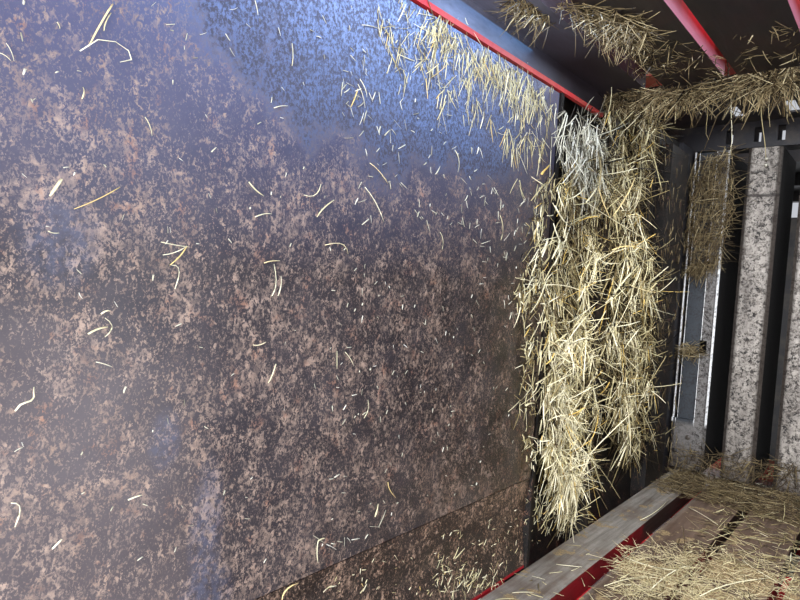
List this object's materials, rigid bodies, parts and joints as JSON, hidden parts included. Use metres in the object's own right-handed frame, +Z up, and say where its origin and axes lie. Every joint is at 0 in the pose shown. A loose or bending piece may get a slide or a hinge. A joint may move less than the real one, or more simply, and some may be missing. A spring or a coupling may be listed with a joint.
{
  "type": "bale chamber of a large square baler",
  "caption": "Slotted steel press chamber with hinged side and top doors, cylinders that squeeze them, and a sliding slotted plunger on rollers.",
  "frame": {"origin": "middle of the underside of the cross bearers, halfway along the part", "axes": "+X to the right seen from the open rear end, +Y from the rear end towards the plunger's drive end, +Z up"},
  "size_m": [2.254, 4.87, 2.015],
  "materials": {
    "red_paint": "satin red paint, worn",
    "wall_steel": "dark steel skin, polished and rust-flecked",
    "floor_steel": "worn grey-brown steel, red painted flanges",
    "ceiling_steel": "dark steel, red painted flanges",
    "plunger_steel": "light worn steel with dark specks",
    "body_steel": "dark grey paint",
    "housing_steel": "dark blue-grey paint, dusty",
    "rod_chrome": "hard chrome",
    "barrel_paint": "black paint",
    "roller_steel": "bright worn steel"
  },
  "bodies": {
    "chamber": {"base_bearers": "red_paint", "lower_rail_left": "red_paint", "lower_rail_right": "red_paint", "upper_rail_left": "red_paint", "upper_rail_right": "red_paint", "floor_slats": "floor_steel", "front_floor": "floor_steel", "lower_wall_left": "wall_steel", "lower_wall_right": "wall_steel", "upper_corner_left": "ceiling_steel", "upper_corner_right": "ceiling_steel", "hinge_post_left": "red_paint", "hinge_post_right": "red_paint", "recess_wall_left": "wall_steel", "recess_wall_right": "wall_steel", "housing_wall_left": "housing_steel", "housing_wall_right": "housing_steel", "plunger_rail_left": "housing_steel", "plunger_rail_right": "housing_steel", "tension_post_left": "red_paint", "tension_post_right": "red_paint", "tension_head": "red_paint", "hinge_beam": "red_paint", "knotter_beam": "housing_steel", "knotter_deck": "housing_steel", "housing_cover": "red_paint", "front_posts": "red_paint"},
    "side_door_left": {"door_skin_left": "wall_steel", "door_frame_left": "red_paint"},
    "side_door_right": {"door_skin_right": "wall_steel", "door_frame_right": "red_paint"},
    "top_door": {"top_slats": "ceiling_steel", "top_door_frame": "red_paint"},
    "side_barrel_left": {"side_barrel_left": "barrel_paint"},
    "side_rod_left": {"side_rod_left": "rod_chrome"},
    "side_barrel_right": {"side_barrel_right": "barrel_paint"},
    "side_rod_right": {"side_rod_right": "rod_chrome"},
    "top_barrel_left": {"top_barrel_left": "barrel_paint"},
    "top_rod_left": {"top_rod_left": "rod_chrome"},
    "top_barrel_right": {"top_barrel_right": "barrel_paint"},
    "top_rod_right": {"top_rod_right": "rod_chrome"},
    "plunger": {"plunger_face": "plunger_steel", "plunger_body": "body_steel"},
    "roller_rear_left": {"roller_rear_left": "roller_steel"},
    "roller_rear_right": {"roller_rear_right": "roller_steel"},
    "roller_front_left": {"roller_front_left": "roller_steel"},
    "roller_front_right": {"roller_front_right": "roller_steel"}
  },
  "joints": [
    {"name": "plunger_slide", "type": "slide", "parent": "chamber", "child": "plunger", "axis": [0, 1, 0], "range_m": [0, 0.74]},
    {"name": "side_door_left_hinge", "type": "hinge", "parent": "chamber", "child": "side_door_left", "pos_m": [-0.7, -0.56, 0.912], "axis": [0, 0, 1], "range_deg": [-1, 3]},
    {"name": "side_door_right_hinge", "type": "hinge", "parent": "chamber", "child": "side_door_right", "pos_m": [0.7, -0.56, 0.912], "axis": [0, 0, -1], "range_deg": [-1, 3]},
    {"name": "top_door_hinge", "type": "hinge", "parent": "chamber", "child": "top_door", "pos_m": [0, -0.285, 1.57], "axis": [1, 0, 0], "range_deg": [-1, 3]},
    {"name": "side_barrel_left_pivot", "type": "hinge", "parent": "chamber", "child": "side_barrel_left", "pos_m": [-1.08, -2.055, 0.912], "axis": [0, 0, -1], "range_deg": [-0.3, 0.8]},
    {"name": "side_rod_left_slide", "type": "slide", "parent": "side_barrel_left", "child": "side_rod_left", "axis": [1, 0, 0], "range_m": [-0.027, 0.079]},
    {"name": "top_barrel_left_pivot", "type": "hinge", "parent": "chamber", "child": "top_barrel_left", "pos_m": [-0.3, -2.055, 1.98], "axis": [-1, 0, 0], "range_deg": [-0.3, 0.8]},
    {"name": "top_rod_left_slide", "type": "slide", "parent": "top_barrel_left", "child": "top_rod_left", "axis": [0, 0, -1], "range_m": [-0.032, 0.094]},
    {"name": "side_barrel_right_pivot", "type": "hinge", "parent": "chamber", "child": "side_barrel_right", "pos_m": [1.08, -2.055, 0.912], "axis": [0, 0, 1], "range_deg": [-0.3, 0.8]},
    {"name": "side_rod_right_slide", "type": "slide", "parent": "side_barrel_right", "child": "side_rod_right", "axis": [-1, 0, 0], "range_m": [-0.027, 0.079]},
    {"name": "top_barrel_right_pivot", "type": "hinge", "parent": "chamber", "child": "top_barrel_right", "pos_m": [0.3, -2.055, 1.98], "axis": [-1, 0, 0], "range_deg": [-0.3, 0.8]},
    {"name": "top_rod_right_slide", "type": "slide", "parent": "top_barrel_right", "child": "top_rod_right", "axis": [0, 0, -1], "range_m": [-0.032, 0.094]},
    {"name": "roller_rear_left_turn", "type": "hinge", "parent": "plunger", "child": "roller_rear_left", "pos_m": [-0.672, 1.155, 0.7], "axis": [1, 0, 0], "continuous": true},
    {"name": "roller_rear_right_turn", "type": "hinge", "parent": "plunger", "child": "roller_rear_right", "pos_m": [0.672, 1.155, 0.7], "axis": [1, 0, 0], "continuous": true},
    {"name": "roller_front_left_turn", "type": "hinge", "parent": "plunger", "child": "roller_front_left", "pos_m": [-0.672, 1.445, 0.7], "axis": [1, 0, 0], "continuous": true},
    {"name": "roller_front_right_turn", "type": "hinge", "parent": "plunger", "child": "roller_front_right", "pos_m": [0.672, 1.445, 0.7], "axis": [1, 0, 0], "continuous": true}
  ],
  "couplings": [
    {"joint": "side_barrel_left_pivot", "follows": "side_door_left_hinge", "ratio": 0.2165},
    {"joint": "side_rod_left_slide", "follows": "side_door_left_hinge", "m_per_rad": 1.4967},
    {"joint": "top_barrel_left_pivot", "follows": "top_door_hinge", "ratio": 0.2469},
    {"joint": "top_rod_left_slide", "follows": "top_door_hinge", "m_per_rad": 1.7721},
    {"joint": "side_barrel_right_pivot", "follows": "side_door_right_hinge", "ratio": 0.2165},
    {"joint": "side_rod_right_slide", "follows": "side_door_right_hinge", "m_per_rad": 1.4967},
    {"joint": "top_barrel_right_pivot", "follows": "top_door_hinge", "ratio": 0.2469},
    {"joint": "top_rod_right_slide", "follows": "top_door_hinge", "m_per_rad": 1.7721}
  ]
}
